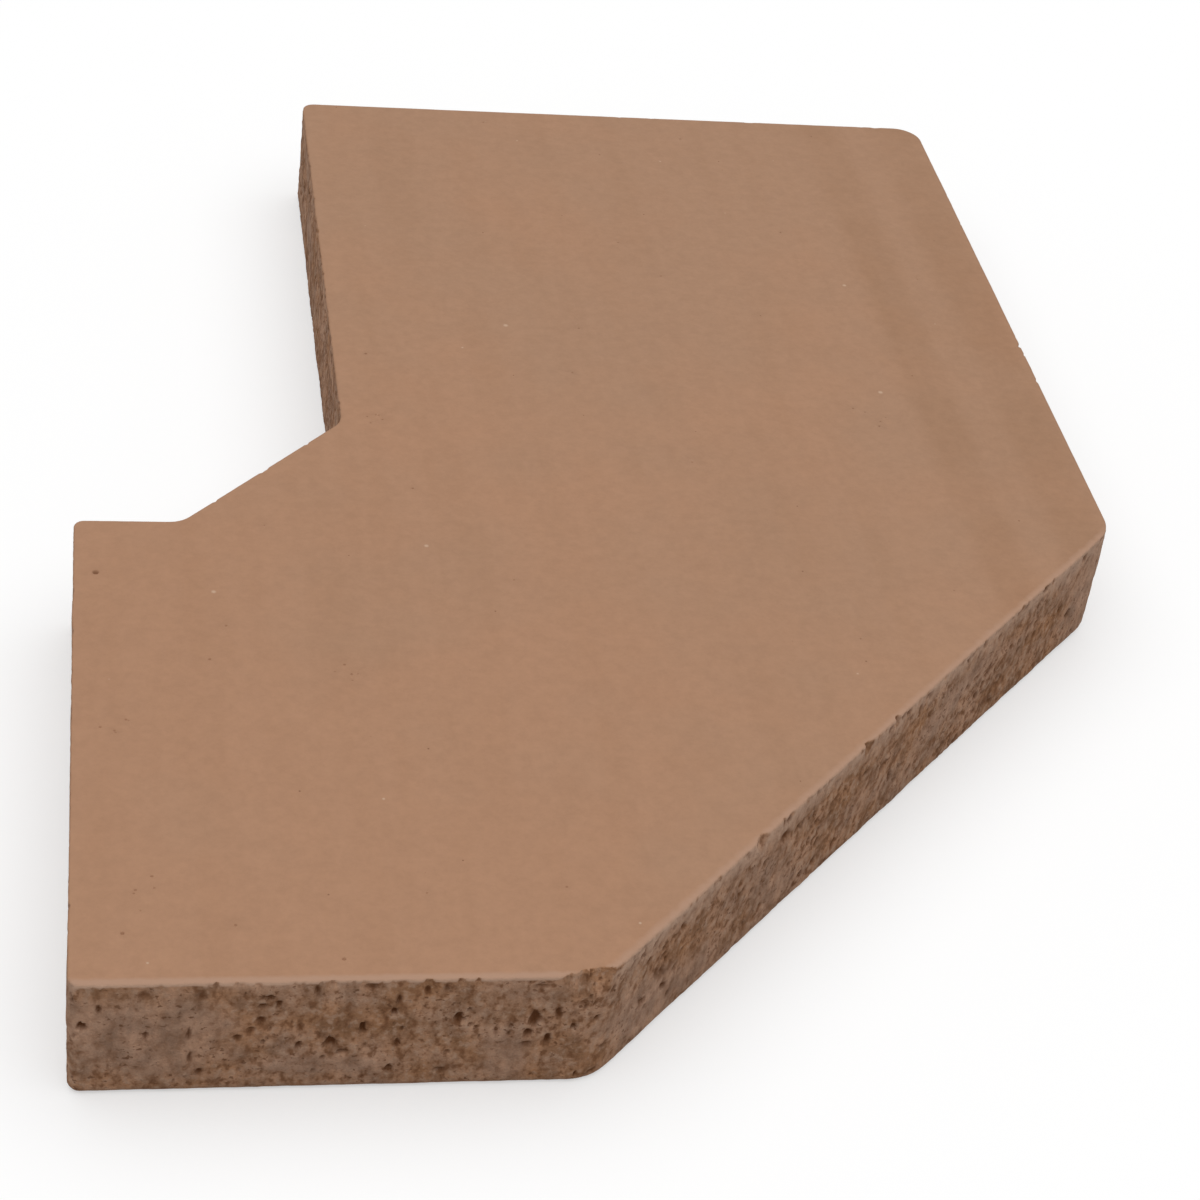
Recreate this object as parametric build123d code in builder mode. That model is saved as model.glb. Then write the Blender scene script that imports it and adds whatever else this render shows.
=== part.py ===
from build123d import *

import os

# Heat storage stone: a flat fireclay slab with a slanted outer corner and a notch for a flue pipe.
# Millimetres. +Z is up, +X runs from the seam face, the short straight one in front of the notch,
# to the outer side, and +Y from the front face to the back face. The origin is the middle of the
# underside's bounding rectangle.

# Slab
WIDTH = 255.0  # seam face to outer side
DEPTH = 365.0  # front face to back face
THICKNESS = 30.0

# Slanted face across the outer front corner
CORNER_CUT_WIDTH = 150.0
CORNER_CUT_DEPTH = 153.0

# Notch for the flue pipe, open to the seam side and to the back
NOTCH_WIDTH = 65.0  # half of the flue pipe's passage
BRIDGE_DEPTH = 152.0  # stone between the front face and the notch
NOTCH_CUT_WIDTH = 40.0  # slanted face across the notch's inner corner
NOTCH_CUT_DEPTH = 43.0

# Radii of the upright corners, in plan
SEAM_RADIUS = 3.0  # both ends of the seam face
SLANT_RADIUS = 12.0  # both ends of the outer slanted face
BACK_RADIUS = 8.0  # outer back corner
LEG_RADIUS = 4.0  # inner back corner, at the end of the leg beside the notch
NOTCH_RADIUS = 6.0  # both ends of the notch's slanted face

# Radii of the arrises, which run all round
TOP_ARRIS_RADIUS = 1.0
BOTTOM_ARRIS_RADIUS = 2.0

seam_x = -WIDTH / 2
outer_x = WIDTH / 2
front_y = -DEPTH / 2
back_y = DEPTH / 2
notch_x = seam_x + NOTCH_WIDTH
notch_y = front_y + BRIDGE_DEPTH

# Each corner of the plan with its radius, counter-clockwise from the seam's front end
corners = [
    ((seam_x, front_y), SEAM_RADIUS),
    ((outer_x - CORNER_CUT_WIDTH, front_y), SLANT_RADIUS),
    ((outer_x, front_y + CORNER_CUT_DEPTH), SLANT_RADIUS),
    ((outer_x, back_y), BACK_RADIUS),
    ((notch_x, back_y), LEG_RADIUS),
    ((notch_x, notch_y + NOTCH_CUT_DEPTH), NOTCH_RADIUS),
    ((notch_x - NOTCH_CUT_WIDTH, notch_y), NOTCH_RADIUS),
    ((seam_x, notch_y), SEAM_RADIUS),
]
points = [point for point, _ in corners]
radii = [radius for _, radius in corners]

# The slab, cut to its plan, with both arrises eased
with BuildPart() as storage_stone:
    with BuildSketch():
        with BuildLine():
            FilletPolyline(*points, radius=radii, close=True)
        make_face()
    extrude(amount=THICKNESS)
    fillet(storage_stone.faces().sort_by(Axis.Z)[-1].edges(), TOP_ARRIS_RADIUS)
    fillet(storage_stone.faces().sort_by(Axis.Z)[0].edges(), BOTTOM_ARRIS_RADIUS)

storage_stone.part.label = "storage_stone"
os.makedirs("parts", exist_ok=True)
export_step(storage_stone.part, "parts/storage_stone.step")
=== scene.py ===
import math
from dataclasses import dataclass

import bmesh
import bpy
import numpy as np
from mathutils import Euler, Matrix, Vector, geometry, kdtree, noise


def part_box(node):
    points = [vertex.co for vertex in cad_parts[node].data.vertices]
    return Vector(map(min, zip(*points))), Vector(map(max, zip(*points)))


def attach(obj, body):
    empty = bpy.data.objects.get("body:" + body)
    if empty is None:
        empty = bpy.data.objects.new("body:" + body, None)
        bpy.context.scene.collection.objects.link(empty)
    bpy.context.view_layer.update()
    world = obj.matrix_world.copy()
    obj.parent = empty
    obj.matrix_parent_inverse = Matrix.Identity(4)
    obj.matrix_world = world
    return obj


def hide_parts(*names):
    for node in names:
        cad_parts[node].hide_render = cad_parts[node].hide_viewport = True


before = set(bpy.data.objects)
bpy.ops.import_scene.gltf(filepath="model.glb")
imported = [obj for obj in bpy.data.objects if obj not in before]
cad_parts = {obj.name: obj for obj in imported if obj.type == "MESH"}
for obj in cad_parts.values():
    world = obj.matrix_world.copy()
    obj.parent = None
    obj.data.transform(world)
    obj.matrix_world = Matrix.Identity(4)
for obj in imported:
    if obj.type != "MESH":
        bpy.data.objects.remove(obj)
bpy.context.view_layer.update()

# The heat storage stone with its finish: a smooth fired skin on the two flat faces, and rough, pitted
# walls where the clay was torn, with nibbled arrises. Metres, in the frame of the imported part:
# +Z up, +X from the seam face to the outer side, +Y from the front face to the back face.

MM = 0.001
NODE = "storage_stone"
PIECE = "storage_stone_fired"
SEED = 11

# Mesh of the walls and of the flat faces' borders
COLUMNS = 1560  # round the whole wall
FACINGS = (0.0, 0.7, 1.0)  # how squarely a wall faces the front
COLUMN_PITCHES = (1.0, 0.62, 0.42)  # its columns' pitch then, relative to that of walls that don't
ROW_PITCH = 0.68 * MM
BOTTOM_ARRIS_STEPS = 5
TOP_ARRIS_STEPS = 4
BORDER_REACH = 2.8 * MM  # from the wall's plane to the inmost ring of a flat face
BOTTOM_RINGS = 2
TOP_RINGS = 4
WELD = 0.001 * MM
INSIDE_ONLY = 1  # the option by which only the inside of a border gets triangles

# Points inside the flat faces: pitch, and the distances from the inmost ring between which it holds
FILL_LEVELS = [
    (1.4 * MM, 1.0 * MM, 2.6 * MM),
    (3.0 * MM, 2.6 * MM, 7.0 * MM),
    (6.0 * MM, 7.0 * MM, math.inf),
]

# Relief of the walls: length along the wall, height and depth of each kind of unevenness
WALL_WAVES = (70 * MM, 45 * MM, 0.35 * MM)
WALL_TEARS = [
    (9.0 * MM, 3.5 * MM, 0.30 * MM),
    (1.3 * MM, 6.0 * MM, 0.12 * MM),
    (2.0 * MM, 1.6 * MM, 0.26 * MM),
]
NOISE_GAIN = 0.6  # stretches the noise to fill the range from 0 to 1

# Patches where the wall was wiped smooth
SMEAR_SIZE = (26 * MM, 14 * MM)  # length and height
SMEAR_FADE = (0.55, 0.75)  # noise at which a patch starts and at which it is whole
SMEAR_QUIET = 0.6  # share of the relief that is wiped away there
SMEAR_CLOSES = 0.7  # share of the pits that is wiped shut there
FRONT_SMEARS = np.array([  # on the front face: x, height, half length and half height
    (-109, 16, 15, 11),
    (-78.5, 7, 11, 2.5),
    (-41, 8, 5, 7),
]) * MM
FRONT_SMEAR_FADE = (1.5, 1.0)  # distance for its half size at which a patch ends and at which it is whole
FRONT_SMEAR_UNEVEN = 0.6  # unevenness of that distance
FRONT_SMEAR_UNEVEN_SIZE = (6 * MM, 6 * MM)

# Pits in the walls, which crowd together in places
PIT_COUNT = 6000
PIT_CROWD_SIZE = (20 * MM, 11 * MM)  # length and height
PIT_CROWD_FADE = (0.2, 0.75)  # noise at which a crowd starts and at which it is densest
PIT_MIDDLE = 0.37 * MM  # half length of a middling pit
PIT_SPREAD = 0.5  # scatter of the logarithms of their sizes and stretches
PIT_STRETCH = 0.95  # length of a middling pit for its height
PIT_TILT = 0.5  # middling tilt, in radians
PIT_DEEPEST = 1.3 * MM
PIT_DEEP_SIZE = 1.6  # size for a middling one's from which a pit may be the deepest
PIT_LEAST_DEPTH = 0.35  # for the most that a pit of its size may have
PIT_SHADE_DEPTH = 0.8 * MM  # depth at which a pit or pinhole has its full painted shade
PIT_RAGGED_SIZE = (1.1 * MM, 1.1 * MM)  # size of the unevenness of a pit's border
PIT_RAGGED = (0.42, 1.04)  # that border's half size is divided by numbers between these
PIT_REACH = 2.1  # how far out that border is looked for, for the larger half size
PIT_EASE = 1.8 * MM  # how near to a flat face the pits start to get shallower
FRONT_PIT_LARGEST = 0.45 * MM  # half length of the stray pits of the front face
FRONT_PITS = np.array([  # those that stand out there: x, height, half length, half height and depth
    (-124.5, 19, 1.0, 0.8, 1.3),
    (-121, 23.5, 0.5, 0.9, 0.8),
    (-113, 27, 1.1, 0.8, 0.5),
    (-112, 16, 0.4, 1.3, 0.7),
    (-104, 16.5, 0.4, 1.4, 0.7),
    (-103.5, 10, 0.4, 1.5, 0.7),
    (-101.5, 26.5, 0.8, 1.1, 0.6),
    (-101.5, 5.5, 0.7, 0.6, 0.8),
    (-94.5, 15, 0.6, 0.7, 0.8),
    (-92, 17, 0.7, 0.6, 0.8),
    (-90, 19.5, 0.8, 0.8, 1.0),
    (-89, 25.5, 1.1, 0.6, 1.3),
    (-90, 23.5, 0.7, 0.5, 0.8),
    (-86.5, 24, 0.6, 0.7, 1.0),
    (-82.5, 17.5, 0.8, 1.3, 0.5),
    (-82.5, 12.5, 0.5, 0.8, 0.9),
    (-79.5, 27.5, 0.5, 1.2, 0.8),
    (-76, 13, 0.9, 1.1, 1.3),
    (-74, 10.5, 1.2, 0.5, 0.8),
    (-70, 17, 0.6, 1.1, 1.3),
    (-69, 28, 1.2, 0.5, 0.8),
    (-63.5, 24.5, 0.5, 1.3, 1.0),
    (-64, 21, 0.6, 0.7, 1.2),
    (-63, 12.5, 0.5, 1.2, 0.8),
    (-64, 5.5, 0.7, 0.7, 0.9),
    (-58, 27, 0.5, 1.1, 0.8),
    (-54.5, 27.5, 0.5, 1.0, 0.8),
    (-54, 4.5, 1.0, 0.5, 0.8),
    (-51.5, 19, 0.9, 1.1, 1.3),
    (-43.5, 15.5, 0.4, 1.6, 0.5),
    (-36, 18.5, 0.9, 2.0, 1.2),
    (-37, 14.5, 0.8, 0.8, 1.3),
    (-37, 11.5, 1.2, 0.5, 0.9),
    (-35.5, 27.5, 1.8, 0.5, 0.6),
    (-33, 12.5, 0.6, 1.1, 1.2),
    (-31.5, 20, 0.6, 1.4, 0.9),
    (-28, 16, 0.6, 0.7, 1.0),
]) * MM

# Relief of the flat faces: length and depth of each kind of unevenness
SKIN_RELIEF = [(70 * MM, 0.14 * MM), (12 * MM, 0.04 * MM)]

# Pinholes in the flat faces
TOP_PINHOLES = np.array([  # those that stand out: x, y and radius
    (-121.9, -51.1, 0.8),
    (-116.6, -168.0, 0.45),
    (-74.1, -175.9, 0.45),
    (-53.4, 44.3, 0.4),
    (-94.7, -166.1, 0.35),
    (-97.2, -82.6, 0.35),
]) * MM
TOP_CLUSTERS = np.array([  # x and y
    (-66.3, -85.6),
    (-55.0, 14.0),
    (-112.0, -158.0),
    (-118.0, -104.0),
    (75.0, 20.0),
]) * MM
CLUSTER_HOLES = 5
CLUSTER_SPREAD = 2.5 * MM
STRAY_PINHOLES = 16  # on each flat face
SMALL_PINHOLE = (0.2 * MM, 0.36 * MM)  # least and largest radius in clusters and of strays
PINHOLE_DEPTH = 0.7  # for its radius

# Pale grains that show in the top: x, y and radius
TOP_GRAINS = np.array([
    (-15.1, 60.0, 0.7),
    (-45.4, -39.4, 0.6),
    (-95.6, -58.1, 0.6),
    (81.5, 31.6, 0.7),
    (83.5, 86.2, 0.6),
]) * MM

# Mesh of the pinholes and grains, as distances for their radius
SPOT_SIDES = 10
SPOT_RINGS = (0.55, 0.85, 1.2)
SPOT_CLEARING = 2.0  # within which there are no other points
SPOT_FADE = (1.1, 0.5)  # where a spot ends and where it is whole

# Breaks in the arrises
TOP_CHIPS = np.array([  # those that stand out: x, y, length along the arris, and size
    (-25.5, -181.5, 12.5, 2.6),
    (15.8, -141.7, 5.0, 1.6),
    (46.8, -112.4, 3.0, 1.4),
    (55.7, -103.0, 2.4, 1.4),
    (124.6, 56.3, 2.0, 1.7),
]) * MM
CHIP_DROP = 2.2  # a chip's reach down the wall for its reach into the flat face
CHIP_JAGGED = (0.7, 1.3)  # a chip's size is multiplied by numbers between these
CHIP_BLUNT = 0.6  # the lower this power is, the blunter are a chip's ends
CHIP_EDGE = 0.25 * MM  # depth of break at which the skin is gone
STRAY_CHIPS = 170  # small ones, on each arris
STRAY_CHIP_LENGTH = 2.4 * MM
STRAY_CHIP_LENGTHS = (0.4, 1.6)  # shortest and longest, for that length
STRAY_CHIP_SIZE = 0.65 * MM
STRAY_CHIP_SIZES = (0.3, 1.5)  # least and largest, for that size
NIBBLE_LENGTH = 1.5 * MM
NIBBLE_SIZE = 0.9 * MM

# Where in the noise each field of it lies, so that they differ
TOP_CHIP_SHIFT = 5
BOTTOM_CHIP_SHIFT = 9
JAGGED_SHIFT = 3  # from the chips' own
WAVE_SHIFT = 5
TEAR_SHIFT = 13  # of the first kind, and one more for each other
SMEAR_SHIFT = 31
SMEAR_UNEVEN_SHIFT = 37
PIT_RAGGED_SHIFT = 43
PIT_CROWD_SHIFT = 57
TOP_SKIN_SHIFT = 71
BOTTOM_SKIN_SHIFT = 83

# The paler rim of the top arris: partly a worn arris and partly a painted highlight, which is strongest
# along the front
RIM_ON_TOP = (2.8 * MM, 1.2 * MM)  # distance in from the wall at which it ends and at which it is whole
RIM_ON_WALL = (1.2 * MM, 0.0 * MM)  # the same, down the wall
RIM_SLANT = 20.0  # how much farther down the wall it reaches as the wall turns from the front; this paler upper part of those walls is painted highlight
RIM_LEAST = 0.05  # on walls that face away from the front
RIM_RISE = 0.5  # upward part of the normal from which a ring counts as on top


@dataclass
class Pattern:
    """Noise in the clay: its length and octaves, and the range that is taken from it and given for it."""

    length: float
    stretch: tuple = (1, 1, 1)  # what its coordinates are multiplied by
    detail: float = 3.0
    roughness: float = 0.55
    taken: tuple = (0.0, 1.0)
    given: tuple = (0.0, 1.0)


# Colour of the skin, in linear red, green and blue
SKIN_WARM = (0.397, 0.222, 0.1347, 1)
SKIN_OLIVE = (0.374, 0.219, 0.137, 1)
SKIN_CLOUDS = Pattern(45 * MM, detail=2, taken=(0.3, 0.7))  # from warm to olive
SKIN_SHADE_BY_X = 0.9  # painted shade: how much the clouds rise for each metre, so that the skin turns olive and darker towards the outer side and the back
SKIN_SHADE_BY_Y = 1.1
SKIN_BANDS = [(95.5 * MM, 9 * MM), (119 * MM, 11 * MM)]  # x of the middle, and half width
SKIN_BAND_CORE = 0.4  # share of that width that has the full tint
SKIN_BAND_TINT = (0.92, 0.90, 0.87, 1)
SKIN_STREAKS = Pattern(8 * MM, (1, 0.09, 1), 2, taken=(0.45, 0.7), given=(0, 0.4))
SKIN_WEAR = Pattern(25 * MM, detail=1, taken=(0.35, 0.6), given=(0.5, 1.0))
SKIN_MOTTLE = Pattern(2.6 * MM, roughness=0.7, taken=(0.32, 0.68), given=(0.955, 1.045))
SKIN_CRUMBS = (7 * MM, 0.06, 0.4 * MM)  # pitch, share of places that have one, and radius
SKIN_CRUMB_COLOR = (0.50, 0.34, 0.24, 1)
SKIN_SPECKS = (4 * MM, 0.06, 0.28 * MM)
SKIN_SPECK_COLOR = (0.22, 0.11, 0.065, 1)
FLECK_CORE = 0.5  # share of a crumb's or speck's radius that has its full colour

# Colour of the torn walls
TORN_BROWN = (0.345, 0.175, 0.09, 1)
TORN_PALE = (0.426, 0.248, 0.159, 1)
TORN_FINE = Pattern(9 * MM, (1, 1, 1.6), 2)  # half of what turns the brown pale
TORN_BROAD = Pattern(26 * MM, detail=1)  # and the other half
TORN_PATCHES = (0.40, 0.60)  # their mean where it starts and where it is whole
WIPED_COLOR = (0.415, 0.26, 0.183, 1)
WIPED_SHARE = 0.58
TORN_BLOTCHES = Pattern(5.5 * MM, (1, 1, 0.8), 1, taken=(0.36, 0.64), given=(0.77, 1.14))
TORN_STREAKS = Pattern(1.4 * MM, (1, 1, 0.25), 1, taken=(0.35, 0.65), given=(0.91, 1.05))
TORN_GRAINS = Pattern(1.8 * MM, (1, 1, 0.85), 2)
PALE_GRAINS = (0.53, 0.66, 0, 0.55)  # range of the grains' noise, and shares of the colour for it
PALE_GRAIN_COLOR = (0.49, 0.32, 0.225, 1)
DARK_GRAINS = (0.49, 0.34, 0, 0.84)
DARK_GRAIN_COLOR = (0.19, 0.083, 0.038, 1)
TORN_GRIT = Pattern(0.5 * MM, detail=2, taken=(0.3, 0.7), given=(0.90, 1.07))
PORES = Pattern(1.4 * MM, (1, 1, 1.3), 2, taken=(0.60, 0.67))
PORE_CROWDS = Pattern(13 * MM, detail=1, taken=(0.36, 0.56))
PORE_COLOR = (0.125, 0.052, 0.024, 1)
PORE_SHARE = 0.75

# Colour of the rim, partly wear and partly painted highlight, of the grains in the top, and the painted
# shade of the pits and pinholes
RIM_RAGS = Pattern(2.5 * MM, detail=2, taken=(0.48, 1.05), given=(0, 0.95))
RIM_RAG_WEIGHT = 0.6
# the rim's colours, partly wear and partly painted highlight; the paler one on the walls makes up for the
# weaker light there
RIM_WEAR_AND_HIGHLIGHT_ON_TOP = (0.425, 0.26, 0.178, 1)
RIM_WEAR_AND_HIGHLIGHT_ON_WALL = (0.54, 0.355, 0.255, 1)
GRAIN_COLOR = (0.51, 0.345, 0.242, 1)
# painted shade in the pits and pinholes, whole at the deepest
PIT_SHADE_COLOR = (0.12, 0.044, 0.016, 1)

# Dull surface, with fine relief
DULLNESS = Pattern(5 * MM, detail=1, taken=(0.3, 0.7), given=(0.82, 0.95))
SPECULAR = 0.12
FINE_RELIEF = Pattern(0.75 * MM, detail=2)
COARSE_WEIGHTS = (0.6, 0.9)  # of the fine relief and of the torn walls' grains, on the walls
RELIEF_DEPTHS = (0.03 * MM, 0.4 * MM)  # on the skin and on the walls

# The photo's viewpoint, turned and zoomed to the stone
VIEWPOINT = Vector((-124.7 * MM, -561.8 * MM, 411.6 * MM))
VIEW_DOWN = math.radians(40.0)
VIEW_TURN = math.radians(10.6)
VIEW_LIFT = math.radians(2.7)
LENS = 83.0  # in millimetres, as the camera takes it
SENSOR = 36.0

# Light: a wide soft sun overhead and an even sky, which add up to 1 on a level surface
SKY = 0.30
SUN_WIDTH = math.radians(100)
FLOOR_COLOR = 0.55
FLOOR_HALF_SIZE = 30.0
FLOOR_GAP = 0.1 * MM

rng = np.random.default_rng(SEED)


# Numbers


def ramp(values, start, end):
    """Numbers that go from 0 at start to 1 at end, and are held there."""
    return np.clip((values - start) / (end - start), 0, 1)


def between(low, high, share):
    """The number at a share of the way from low to high."""
    return low + (high - low) * share


def noise_field(places, length, height, shift):
    """Smooth noise between 0 and 1 at places, with features of a length across and a height upright."""
    scaled = places / (length, length, height) + shift
    values = [noise.noise(Vector(place)) for place in scaled.reshape(-1, 3)]
    return np.clip(0.5 + NOISE_GAIN * np.array(values), 0, 1).reshape(places.shape[:-1])


def level_noise(places, length, shift):
    """Smooth noise between 0 and 1 at places in plan."""
    level = np.concatenate([places, np.zeros((*places.shape[:-1], 1))], axis=-1)
    return noise_field(level, length, 1, shift)


# Outline of the stone


@dataclass
class Wall:
    """The wall as rings of columns, from the underside's border up to the top's."""

    points: np.ndarray  # plan place of each column
    outward: np.ndarray  # plan normal of each column
    along: np.ndarray  # distance of each column from the first
    perimeter: float
    inset: np.ndarray  # how far in from the plan place each ring is, at each column
    height: np.ndarray
    out: np.ndarray  # outward part of each ring's normal
    rise: np.ndarray  # upward part of each ring's normal

    def places(self):
        """The place of each ring at each column."""
        flat = self.points - self.outward * self.inset[:, :, None]
        return np.concatenate([flat, self.height[:, :, None]], axis=2)

    def distance_at(self, x, y):
        """The distance along the wall of the column nearest to a plan place."""
        return self.along[np.linalg.norm(self.points - (x, y), axis=1).argmin()]

    def gaps(self, distance):
        """How far along the wall each column is from a distance, either way."""
        return (self.along - distance + self.perimeter / 2) % self.perimeter - self.perimeter / 2

    def side_share(self):
        """How far each ring belongs to the walls: 1 where it is upright, and 0 on the flat faces."""
        return np.clip(self.out, 0, 1)[:, None] ** 2


def section_loop(node, level):
    """The node's outline at a level, as a loop of points, counter-clockwise from its front seam corner."""
    section = bmesh.new()
    section.from_mesh(node.data)
    bmesh.ops.remove_doubles(section, verts=section.verts, dist=WELD)
    everything = section.verts[:] + section.edges[:] + section.faces[:]
    cut = bmesh.ops.bisect_plane(
        section, geom=everything, plane_co=(0, 0, level), plane_no=(0, 0, 1)
    )
    edges = {item for item in cut["geom_cut"] if isinstance(item, bmesh.types.BMEdge)}
    edge = next(iter(edges))
    walked = [edge.verts[0]]
    while edge.other_vert(walked[-1]) is not walked[0]:
        walked.append(edge.other_vert(walked[-1]))
        edge = next(e for e in walked[-1].link_edges if e in edges and e is not edge)
    loop = np.array([vertex.co.xy for vertex in walked])
    section.free()
    ahead = np.roll(loop, -1, axis=0)
    if (loop[:, 0] * ahead[:, 1] - loop[:, 1] * ahead[:, 0]).sum() < 0:
        loop = loop[::-1]
    first = np.lexsort((loop[:, 0], loop.sum(axis=1)))[0]  # of points equally near the corner, the least x
    return np.roll(loop, -int(first), axis=0)


def stations(loop):
    """Points round a loop, closest on the front, their outward normals and distances, and its length."""
    closed = np.vstack([loop, loop[:1]])
    lengths = np.linalg.norm(np.diff(closed, axis=0), axis=1)
    reached = np.concatenate([[0], np.cumsum(lengths)])
    facing = np.diff(closed[:, 0]) / lengths
    pitches = np.interp(facing, FACINGS, COLUMN_PITCHES)
    counted = np.concatenate([[0], np.cumsum(lengths / pitches)])
    along = np.interp(np.arange(COLUMNS) * counted[-1] / COLUMNS, counted, reached)
    points = np.column_stack([np.interp(along, reached, closed[:, axis]) for axis in range(2)])
    ahead = np.roll(points, -1, axis=0) - np.roll(points, 1, axis=0)
    outward = np.column_stack([ahead[:, 1], -ahead[:, 0]])
    outward /= np.linalg.norm(outward, axis=1, keepdims=True)
    return points, outward, along, reached[-1]


def wall_rings(thickness, bottom_arris, top_arris):
    """Inset, height and the normal's outward and upward parts of each ring, from the underside up."""
    rings = []
    for inset in np.linspace(BORDER_REACH, bottom_arris, BOTTOM_RINGS, endpoint=False):
        rings.append((inset, 0, 0, -1))
    for angle in np.linspace(-math.pi / 2, 0, BOTTOM_ARRIS_STEPS, endpoint=False):
        out, rise = math.cos(angle), math.sin(angle)
        rings.append((bottom_arris * (1 - out), bottom_arris * (1 + rise), out, rise))
    straight = thickness - bottom_arris - top_arris
    for height in np.linspace(bottom_arris, thickness - top_arris, round(straight / ROW_PITCH)):
        rings.append((0, height, 1, 0))
    for angle in np.linspace(math.pi / 2, 0, TOP_ARRIS_STEPS, endpoint=False)[::-1]:
        out, rise = math.cos(angle), math.sin(angle)
        rings.append((top_arris * (1 - out), thickness - top_arris * (1 - rise), out, rise))
    for inset in np.linspace(BORDER_REACH, top_arris, TOP_RINGS, endpoint=False)[::-1]:
        rings.append((inset, thickness, 0, 1))
    return np.array(rings).T


def trace_wall():
    """The wall of the CAD stone, still smooth."""
    low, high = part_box(NODE)
    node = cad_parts[NODE]
    corners = np.array([vertex.co for vertex in node.data.vertices])
    top_arris = high[0] - corners[corners[:, 2] > high[2] - WELD, 0].max()
    bottom_arris = high[0] - corners[corners[:, 2] < low[2] + WELD, 0].max()
    points, outward, along, perimeter = stations(section_loop(node, (low[2] + high[2]) / 2))
    inset, height, out, rise = wall_rings(high[2] - low[2], bottom_arris, top_arris)
    inset, height = (np.repeat(values[:, None], COLUMNS, axis=1) for values in (inset, height))
    return Wall(points, outward, along, perimeter, inset, height, out, rise)


# Relief


def chip_sizes(wall, chips, shift):
    """How far an arris is broken back at each column by nibbles, the given chips and stray ones."""
    sizes = NIBBLE_SIZE * level_noise(wall.points, NIBBLE_LENGTH, shift) ** 2
    jagged = between(*CHIP_JAGGED, level_noise(wall.points, NIBBLE_LENGTH / 2, shift + JAGGED_SHIFT))
    events = [(wall.distance_at(x, y), length, size) for x, y, length, size in chips]
    for _ in range(STRAY_CHIPS):
        place = rng.uniform(0, wall.perimeter)
        length = STRAY_CHIP_LENGTH * rng.uniform(*STRAY_CHIP_LENGTHS)
        size = STRAY_CHIP_SIZE * rng.uniform(*STRAY_CHIP_SIZES)
        events.append((place, length, size))
    for place, length, size in events:
        shape = np.clip(1 - (2 * wall.gaps(place) / length) ** 2, 0, 1) ** CHIP_BLUNT
        sizes = np.maximum(sizes, np.minimum(size * shape * jagged, BORDER_REACH))
    return sizes


def break_arris(wall, top, sizes):
    """Moves rings near an arris back to the chips' slanted faces, and returns how far each was moved."""
    thickness = wall.height.max()
    drop = thickness - wall.height if top else wall.height
    over = np.clip(sizes - wall.inset - drop / CHIP_DROP, 0, None)
    share = 1 / (1 + CHIP_DROP**-2)
    drop = drop + over * share / CHIP_DROP
    wall.inset = wall.inset + over * share
    wall.height = thickness - drop if top else drop
    return over


def wear_and_highlight_share(wall, cut):
    """How much of the top arris' paler tone, partly wear and partly painted highlight, each place of the
    wall has. It is strongest along the front.
    """
    facing = np.clip(-wall.outward[:, 1], 0, 1)
    drop = (wall.height.max() - wall.height) / (1 + RIM_SLANT * (1 - facing))
    on_top = wall.rise[:, None] > RIM_RISE
    share = np.where(on_top, ramp(wall.inset, *RIM_ON_TOP), ramp(drop, *RIM_ON_WALL))
    return share * (1 - cut) * between(RIM_LEAST, 1, facing)


def smeared(wall, places):
    """How smoothly each place of the wall was wiped, in random patches and in the front face's own."""
    smear = ramp(noise_field(places, *SMEAR_SIZE, SMEAR_SHIFT), *SMEAR_FADE)
    uneven = FRONT_SMEAR_UNEVEN * noise_field(places, *FRONT_SMEAR_UNEVEN_SIZE, SMEAR_UNEVEN_SHIFT)
    front = wall.points[:, 1].min()
    for x, level, half_length, half_height in FRONT_SMEARS:
        sideways = wall.gaps(wall.distance_at(x, front)) / half_length
        upward = (wall.height - level) / half_height
        smear = np.maximum(smear, ramp(np.hypot(sideways, upward) + uneven, *FRONT_SMEAR_FADE))
    return smear


def random_pit(wall):
    """A pit's distance along the wall, level, half length, half height, tilt and depth, drawn at random."""
    place = rng.uniform(0, wall.perimeter)
    level = rng.uniform(0, wall.height.max())
    size = PIT_MIDDLE * math.exp(PIT_SPREAD * rng.normal())
    stretch = PIT_STRETCH * math.exp(PIT_SPREAD * rng.normal())
    tilt = rng.normal(0, PIT_TILT)
    deepest = PIT_DEEPEST * min(1, size / PIT_MIDDLE / PIT_DEEP_SIZE)
    deep = deepest * rng.uniform(PIT_LEAST_DEPTH, 1)
    return place, level, size * math.sqrt(stretch), size / math.sqrt(stretch), tilt, deep


def choose_pits(wall, places, smear, heights):
    """The pits that stand out on the front face, and random ones where they crowd."""
    crowd = ramp(noise_field(places, *PIT_CROWD_SIZE, PIT_CROWD_SHIFT), *PIT_CROWD_FADE)
    chance = crowd * (1 - SMEAR_CLOSES * smear)
    front = wall.points[:, 1].min()
    pits = []
    for x, level, half_length, half_height, deep in FRONT_PITS:
        pits.append((wall.distance_at(x, front), level, half_length, half_height, 0, deep))
    for _ in range(PIT_COUNT):
        pit = random_pit(wall)
        here = abs(heights - pit[1]).argmin(), abs(wall.gaps(pit[0])).argmin()
        too_large = wall.points[here[1], 1] < front + WELD and max(pit[2], pit[3]) > FRONT_PIT_LARGEST
        if not too_large and rng.random() < chance[here]:
            pits.append(pit)
    return pits


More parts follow.
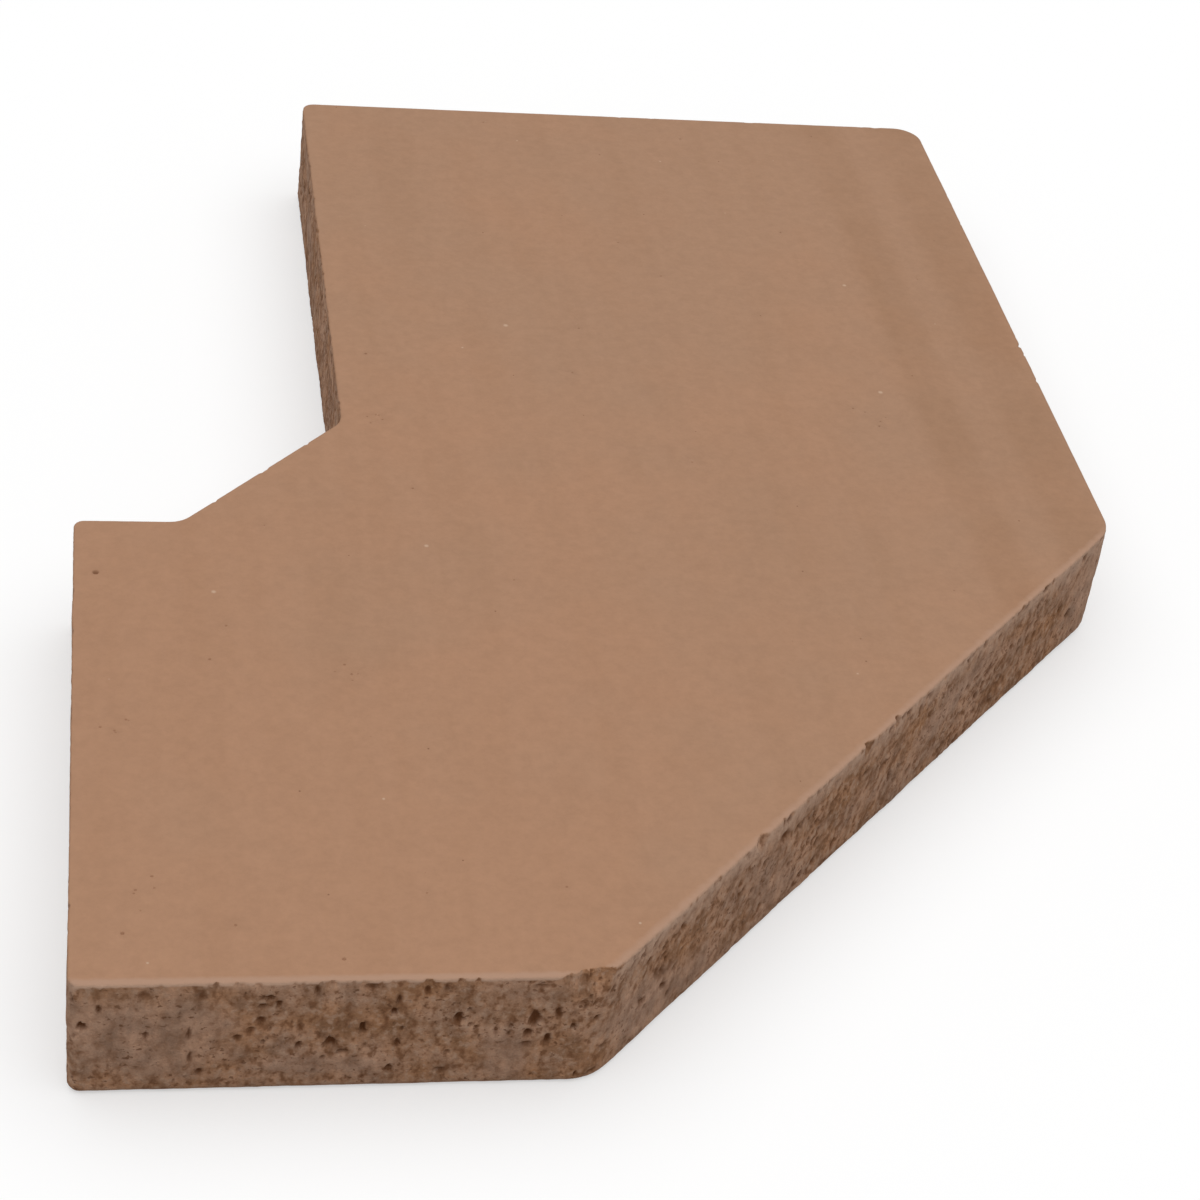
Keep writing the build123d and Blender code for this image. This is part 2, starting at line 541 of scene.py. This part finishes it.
def carve_pits(wall, places, smear):
    """Depth of the pits at each ring and column."""
    depth = np.zeros(wall.inset.shape)
    heights = wall.height.mean(axis=1)
    ragged = between(*PIT_RAGGED, noise_field(places, *PIT_RAGGED_SIZE, PIT_RAGGED_SHIFT))
    for place, level, half_length, half_height, tilt, deep in choose_pits(wall, places, smear, heights):
        reach = PIT_REACH * max(half_length, half_height)
        gaps = wall.gaps(place)
        columns = np.flatnonzero(abs(gaps) < reach)
        rows = np.flatnonzero(abs(heights - level) < reach)
        block = np.ix_(rows, columns)
        sideways = gaps[columns][None, :]
        upward = (heights[rows] - level)[:, None]
        across = (sideways * math.cos(tilt) + upward * math.sin(tilt)) / half_length
        upright = (upward * math.cos(tilt) - sideways * math.sin(tilt)) / half_height
        distance = np.hypot(across, upright) * ragged[block]
        depth[block] = np.maximum(depth[block], deep * np.clip(1 - distance**2, 0, 1))
    edge = np.minimum(wall.height, wall.height.max() - wall.height)
    return depth * ramp(edge, 0, PIT_EASE)


def roughen(wall):
    """Wears the wall back to a torn surface. Returns how smeared and how deeply pitted each place is."""
    places = wall.places()
    smear = smeared(wall, places)
    pits = carve_pits(wall, places, smear)
    across, up, deep = WALL_WAVES
    depth = deep * noise_field(places, across, up, WAVE_SHIFT) + pits
    for number, (across, up, deep) in enumerate(WALL_TEARS):
        tear = deep * noise_field(places, across, up, TEAR_SHIFT + number)
        depth = depth + tear * (1 - SMEAR_QUIET * smear)
    share = wall.side_share()
    wall.inset = wall.inset + depth * share * wall.out[:, None]
    wall.height = wall.height - depth * share * wall.rise[:, None]
    return smear * share, pits * share


def skin_drop(places, top):
    """How far a flat face lies in from its plane at places."""
    shift = TOP_SKIN_SHIFT if top else BOTTOM_SKIN_SHIFT
    return sum(depth * level_noise(places, length, shift) for length, depth in SKIN_RELIEF)


def press_skin(wall):
    """Lets the flat faces' rings of the wall dip as the skin inside them does."""
    places = wall.places()[:, :, :2]
    for ring in np.flatnonzero(abs(wall.rise) == 1):
        top = wall.rise[ring] > 0
        wall.height[ring] += skin_drop(places[ring], top) * (-1 if top else 1)


# Flat faces


class Field:
    """The inside of a flat face: tells how far a place is from its border, or that it is outside."""

    def __init__(self, ring, outward):
        self.ring = ring
        self.outward = outward
        self.tree = kdtree.KDTree(len(ring))
        for number, point in enumerate(ring):
            self.tree.insert((*point, 0), number)
        self.tree.balance()

    def depth(self, x, y):
        """The distance from a place inside to the border, or -1 outside."""
        nearest, number, distance = self.tree.find((x, y, 0))
        away = (x - nearest[0]) * self.outward[number][0] + (y - nearest[1]) * self.outward[number][1]
        return distance if away < 0 else -1


def pinholes(field, top):
    """Plan place and radius of each of a flat face's pinholes."""
    holes = []
    if top:
        holes.extend(TOP_PINHOLES)
        for cluster in np.repeat(TOP_CLUSTERS, CLUSTER_HOLES, axis=0):
            holes.append((*(cluster + CLUSTER_SPREAD * rng.normal(size=2)), rng.uniform(*SMALL_PINHOLE)))
    strays = 0
    while strays < STRAY_PINHOLES:
        place = rng.uniform(field.ring.min(axis=0), field.ring.max(axis=0))
        if field.depth(*place) > BORDER_REACH:
            holes.append((*place, rng.uniform(*SMALL_PINHOLE)))
            strays += 1
    return np.array(holes)


def fill_points(field, spots):
    """Points inside a flat face, close together near its border and at its spots, wider apart elsewhere."""
    low, high = field.ring.min(axis=0), field.ring.max(axis=0)
    found = []
    for pitch, nearest, farthest in FILL_LEVELS:
        row_pitch = pitch * math.sqrt(0.75)  # for triangles with three equal sides
        for number, y in enumerate(np.arange(low[1], high[1], row_pitch)):
            for x in np.arange(low[0] + pitch / 2 * (number % 2), high[0], pitch):
                if nearest <= field.depth(x, y) < farthest:
                    found.append((x, y))
    found = np.array(found)
    turn = np.linspace(0, 2 * math.pi, SPOT_SIDES, endpoint=False)
    circle = np.column_stack([np.cos(turn), np.sin(turn)])
    for x, y, radius in spots:
        found = found[np.linalg.norm(found - (x, y), axis=1) > SPOT_CLEARING * radius]
        rings = [(x, y) + circle * radius * share for share in SPOT_RINGS]
        found = np.vstack([found, (x, y), *rings])
    return found


def spot_share(places, spots):
    """At places, 0 outside round spots and up to 1 at their middles, and the radius of the spot."""
    share, size = np.zeros(len(places)), np.zeros(len(places))
    for x, y, radius in spots:
        distance = np.linalg.norm(places - (x, y), axis=1) / radius
        share = np.maximum(share, ramp(distance, *SPOT_FADE))
        size[distance < SPOT_FADE[0]] = radius
    return share, size


def face_triangles(ring, inner):
    """Triangles that fill a ring through the inner points, as numbers into both lists end to end."""
    border = [(number, (number + 1) % len(ring)) for number in range(len(ring))]
    flat = [Vector(point) for point in np.vstack([ring, inner])]
    found = geometry.delaunay_2d_cdt(flat, border, [], INSIDE_ONLY, WELD / 10)
    triangles, origins = found[2], found[3]
    return [[origins[corner][0] for corner in triangle] for triangle in triangles]


# The stone


def wall_faces(rings):
    """Four-sided faces between neighbouring rings and columns."""
    faces = []
    for ring in range(rings - 1):
        for column in range(COLUMNS):
            here, beside = ring * COLUMNS + column, ring * COLUMNS + (column + 1) % COLUMNS
            faces.append((here, beside, beside + COLUMNS, here + COLUMNS))
    return faces


def store(mesh, name, values):
    """Keeps a number for each point of a mesh, for its material to read, and 0 past the last number."""
    kept = mesh.attributes.new(name, "FLOAT", "POINT")
    padded = np.zeros(len(mesh.vertices), np.float32)
    padded[: values.size] = values.ravel()
    kept.data.foreach_set("value", padded)


def build_stone():
    """The whole stone as one closed mesh, with what its finish needs to know stored on its points."""
    wall = trace_wall()
    thickness = wall.height.max()
    cut = break_arris(wall, True, chip_sizes(wall, TOP_CHIPS, TOP_CHIP_SHIFT))
    cut = cut + break_arris(wall, False, chip_sizes(wall, [], BOTTOM_CHIP_SHIFT))
    cut = ramp(cut, 0, CHIP_EDGE)
    # the top arris' paler rim: partly wear, partly a painted highlight that is strongest along the front
    rim_wear_and_highlight = wear_and_highlight_share(wall, cut)
    smear, pits = roughen(wall)
    press_skin(wall)

    points = wall.places().reshape(-1, 3)
    pits = pits.ravel()
    crumb = np.zeros(len(points))
    faces = wall_faces(len(wall.out))
    for top, first in ((False, 0), (True, len(points) - COLUMNS)):
        border = np.arange(first, first + COLUMNS)
        ring = points[border, :2]
        field = Field(ring, wall.outward)
        holes = pinholes(field, top)
        crumbs = TOP_GRAINS if top else []
        inner = fill_points(field, [*holes, *crumbs])
        share, size = spot_share(inner, holes)
        deep = PINHOLE_DEPTH * share * size
        inward = skin_drop(inner, top) + deep
        numbers = np.concatenate([border, len(points) + np.arange(len(inner))])
        for triangle in face_triangles(ring, inner):
            faces.append(numbers[triangle if top else triangle[::-1]].tolist())
        points = np.vstack([points, np.column_stack([inner, thickness - inward if top else inward])])
        pits = np.concatenate([pits, deep])
        crumb = np.concatenate([crumb, spot_share(inner, crumbs)[0]])

    mesh = bpy.data.meshes.new(PIECE)
    mesh.from_pydata(points.tolist(), [], faces)
    mesh.polygons.foreach_set("use_smooth", np.ones(len(mesh.polygons), bool))
    store(mesh, "side", np.maximum(wall.side_share(), cut))
    store(mesh, "smear", smear)
    store(mesh, "rim_wear_and_highlight", rim_wear_and_highlight)
    store(mesh, "crumb", crumb)
    # painted shade: the deeper a pit or pinhole, the darker it is
    store(mesh, "pit", ramp(pits, 0, PIT_SHADE_DEPTH))
    mesh.update()
    stone = bpy.data.objects.new(PIECE, mesh)
    bpy.context.collection.objects.link(stone)
    return stone


# Finish


def add_node(tree, kind, inputs, **settings):
    """A node with its settings, and with each input set to a value or linked to another node's output."""
    node = tree.nodes.new(kind)
    for name, value in settings.items():
        setattr(node, name, value)
    for key, value in inputs.items():
        if isinstance(value, bpy.types.NodeSocket):
            tree.links.new(value, node.inputs[key])
        else:
            node.inputs[key].default_value = value
    return node


def mixed(tree, factor, first, second, blend="MIX"):
    """The colour between two colours, by a factor."""
    inputs = {0: factor, 6: first, 7: second}  # 6, 7 and output 2 are the node's sockets for colours
    node = add_node(tree, "ShaderNodeMix", inputs, data_type="RGBA", blend_type=blend)
    return node.outputs[2]


def spread(tree, value, low, high, to_low=0.0, to_high=1.0):
    """A number taken from one range to another, and held at its ends."""
    inputs = {"Value": value, "From Min": low, "From Max": high, "To Min": to_low, "To Max": to_high}
    return add_node(tree, "ShaderNodeMapRange", inputs, clamp=True).outputs[0]


def math_node(tree, operation, *values):
    """A sum, product or the like of numbers."""
    return add_node(tree, "ShaderNodeMath", dict(enumerate(values)), operation=operation).outputs[0]


def weighted(tree, parts):
    """The sum of numbers, each times its weight."""
    total = 0.0
    for value, weight in parts:
        total = math_node(tree, "MULTIPLY_ADD", value, weight, total)
    return total


def grain(tree, where, pattern):
    """A pattern's noise as it is."""
    mapped = add_node(tree, "ShaderNodeMapping", {"Vector": where, "Scale": pattern.stretch}).outputs[0]
    inputs = {
        "Vector": mapped,
        "Scale": 1 / pattern.length,
        "Detail": pattern.detail,
        "Roughness": pattern.roughness,
    }
    return add_node(tree, "ShaderNodeTexNoise", inputs).outputs["Fac"]


def layer(tree, where, pattern):
    """A pattern's noise in the range that is given for it."""
    return spread(tree, grain(tree, where, pattern), *pattern.taken, *pattern.given)


def flecks(tree, where, pitch, share, radius):
    """Sparse specks: 1 inside a speck and 0 outside, on a share of the cells of a pitch."""
    cells = add_node(tree, "ShaderNodeTexVoronoi", {"Vector": where, "Scale": 1 / pitch})
    near = spread(tree, cells.outputs["Distance"], radius / pitch, radius / pitch * FLECK_CORE)
    chosen = add_node(tree, "ShaderNodeSeparateColor", {"Color": cells.outputs["Color"]}).outputs[0]
    return math_node(tree, "MULTIPLY", near, math_node(tree, "LESS_THAN", chosen, share))


def stored(tree, name):
    """A number kept on the mesh's points."""
    return add_node(tree, "ShaderNodeAttribute", {}, attribute_name=name).outputs["Fac"]


def skin_color(tree, where):
    """The smooth skin: faint warm and olive clouds, with painted shade that turns it olive and darker
    towards the back and the outer side, faint bands by the outer side, crumbs and specks.
    """
    place = add_node(tree, "ShaderNodeSeparateXYZ", {"Vector": where}).outputs
    parts = [
        (grain(tree, where, SKIN_CLOUDS), 1.0),
        (place["Y"], SKIN_SHADE_BY_Y),
        (place["X"], SKIN_SHADE_BY_X),
    ]
    # painted shade: x and y lift the clouds, so the skin is olive and darker towards the outer side and the
    # back
    clouds_and_shade = spread(tree, weighted(tree, parts), *SKIN_CLOUDS.taken)
    color = mixed(tree, clouds_and_shade, SKIN_WARM, SKIN_OLIVE)
    bands = layer(tree, where, SKIN_STREAKS)
    for middle, half_width in SKIN_BANDS:
        distance = math_node(tree, "ABSOLUTE", math_node(tree, "SUBTRACT", place["X"], middle))
        band = spread(tree, distance, half_width, SKIN_BAND_CORE * half_width)
        bands = math_node(tree, "MAXIMUM", bands, band)
    bands = math_node(tree, "MULTIPLY", bands, layer(tree, where, SKIN_WEAR))
    color = mixed(tree, bands, color, SKIN_BAND_TINT, "MULTIPLY")
    color = mixed(tree, 1.0, color, layer(tree, where, SKIN_MOTTLE), "MULTIPLY")
    color = mixed(tree, flecks(tree, where, *SKIN_CRUMBS), color, SKIN_CRUMB_COLOR)
    return mixed(tree, flecks(tree, where, *SKIN_SPECKS), color, SKIN_SPECK_COLOR)


def torn_color(tree, where, grains):
    """The torn walls: brown clay with paler wiped patches, pale and dark grains and dark pores."""
    halves = [(grain(tree, where, half), 0.5) for half in (TORN_FINE, TORN_BROAD)]
    patches = spread(tree, weighted(tree, halves), *TORN_PATCHES)
    color = mixed(tree, patches, TORN_BROWN, TORN_PALE)
    wiped = math_node(tree, "MULTIPLY", stored(tree, "smear"), WIPED_SHARE)
    color = mixed(tree, wiped, color, WIPED_COLOR)
    for shade in (TORN_BLOTCHES, TORN_STREAKS):
        color = mixed(tree, 1.0, color, layer(tree, where, shade), "MULTIPLY")
    rough = math_node(tree, "SUBTRACT", 1.0, wiped)
    for reach, tone in ((PALE_GRAINS, PALE_GRAIN_COLOR), (DARK_GRAINS, DARK_GRAIN_COLOR)):
        share = math_node(tree, "MULTIPLY", spread(tree, grains, *reach), rough)
        color = mixed(tree, share, color, tone)
    color = mixed(tree, 1.0, color, layer(tree, where, TORN_GRIT), "MULTIPLY")
    pores = math_node(tree, "MULTIPLY", layer(tree, where, PORES), layer(tree, where, PORE_CROWDS))
    return mixed(tree, math_node(tree, "MULTIPLY", pores, PORE_SHARE), color, PORE_COLOR)


def fireclay():
    """Fired clay: a smooth tan skin, and brown torn walls with painted shade in the pits, and arrises paler
    partly from wear and partly by a painted highlight.
    """
    material = bpy.data.materials.new("fireclay_stone")
    material.use_nodes = True
    tree = material.node_tree
    shader = tree.nodes["Principled BSDF"]
    where = add_node(tree, "ShaderNodeTexCoord", {}).outputs["Object"]
    side = stored(tree, "side")
    grains = grain(tree, where, TORN_GRAINS)

    color = mixed(tree, side, skin_color(tree, where), torn_color(tree, where, grains))
    # the rim: partly wear, partly painted highlight
    parts = [(stored(tree, "rim_wear_and_highlight"), 1.0), (grain(tree, where, RIM_RAGS), RIM_RAG_WEIGHT)]
    rim_wear_and_highlight = spread(tree, weighted(tree, parts), *RIM_RAGS.taken, *RIM_RAGS.given)
    color = mixed(tree, rim_wear_and_highlight, color, mixed(tree, side, RIM_WEAR_AND_HIGHLIGHT_ON_TOP, RIM_WEAR_AND_HIGHLIGHT_ON_WALL))
    color = mixed(tree, stored(tree, "crumb"), color, GRAIN_COLOR)
    # painted shade in the pits and pinholes
    color = mixed(tree, stored(tree, "pit"), color, PIT_SHADE_COLOR)
    tree.links.new(color, shader.inputs["Base Color"])
    tree.links.new(layer(tree, where, DULLNESS), shader.inputs["Roughness"])
    shader.inputs["Specular IOR Level"].default_value = SPECULAR

    smooth = grain(tree, where, FINE_RELIEF)
    coarse = weighted(tree, zip((smooth, grains), COARSE_WEIGHTS))
    inputs = {0: side, 2: smooth, 3: coarse}  # 2 and 3 are the node's sockets for numbers
    relief = add_node(tree, "ShaderNodeMix", inputs, data_type="FLOAT").outputs[0]
    depth = spread(tree, side, 0, 1, *RELIEF_DEPTHS)
    bump = add_node(tree, "ShaderNodeBump", {"Height": relief, "Distance": depth, "Strength": 1.0})
    tree.links.new(bump.outputs["Normal"], shader.inputs["Normal"])
    return material


# Studio


def camera():
    """The photo's viewpoint, turned about the camera's own axes so that the stone fills the frame."""
    lens = bpy.data.cameras.new("camera")
    lens.lens = LENS
    lens.sensor_width = SENSOR
    seen_from = bpy.data.objects.new("camera", lens)
    level = Euler((math.pi / 2 - VIEW_DOWN, 0, 0)).to_matrix()
    turned = level @ Matrix.Rotation(-VIEW_TURN, 3, "Y") @ Matrix.Rotation(VIEW_LIFT, 3, "X")
    seen_from.matrix_world = Matrix.LocRotScale(VIEWPOINT, turned, None)
    bpy.context.collection.objects.link(seen_from)
    bpy.context.scene.camera = seen_from


def sun():
    """A wide soft light straight overhead."""
    light = bpy.data.lights.new("overhead", "SUN")
    light.energy = math.pi * (1 - SKY)
    light.angle = SUN_WIDTH
    bpy.context.collection.objects.link(bpy.data.objects.new("overhead", light))


def seen_directly(tree):
    """1 for rays from the camera and those that mirrors and glass pass on, and 0 for bounced light."""
    path = add_node(tree, "ShaderNodeLightPath", {}).outputs
    first = math_node(tree, "MAXIMUM", path["Is Camera Ray"], path["Is Glossy Ray"])
    return math_node(tree, "MAXIMUM", first, path["Is Transmission Ray"])


def sky():
    """An even pale sky, which shows as white."""
    world = bpy.data.worlds.new("sky")
    bpy.context.scene.world = world
    world.use_nodes = True
    tree = world.node_tree
    strength = spread(tree, seen_directly(tree), 0, 1, SKY, 1)
    tree.links.new(strength, tree.nodes["Background"].inputs["Strength"])
    tree.nodes["Background"].inputs["Color"].default_value = (1, 1, 1, 1)


def floor():
    """A pale floor that shows as white and keeps the stone's shadow."""
    mesh = bpy.data.meshes.new("floor")
    half = FLOOR_HALF_SIZE
    corners = [(x, y, -FLOOR_GAP) for x, y in ((-half, -half), (half, -half), (half, half), (-half, half))]
    mesh.from_pydata(corners, [], [(0, 1, 2, 3)])
    material = bpy.data.materials.new("floor")
    material.use_nodes = True
    tree = material.node_tree
    tree.nodes.remove(tree.nodes["Principled BSDF"])
    grey = (FLOOR_COLOR, FLOOR_COLOR, FLOOR_COLOR, 1)
    matte = add_node(tree, "ShaderNodeBsdfDiffuse", {"Color": grey}).outputs[0]
    lift = spread(tree, seen_directly(tree), 0, 1, 0, 1 - FLOOR_COLOR)
    glow = add_node(tree, "ShaderNodeEmission", {"Strength": lift}).outputs[0]
    both = add_node(tree, "ShaderNodeAddShader", {0: matte, 1: glow}).outputs[0]
    tree.links.new(both, tree.nodes["Material Output"].inputs["Surface"])
    mesh.materials.append(material)
    plane = bpy.data.objects.new("floor", mesh)
    bpy.context.collection.objects.link(plane)


bpy.context.scene.view_settings.view_transform = "Standard"
camera()
sun()
sky()
floor()

stone = build_stone()
stone.data.materials.append(fireclay())
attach(stone, "root")
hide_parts(NODE)
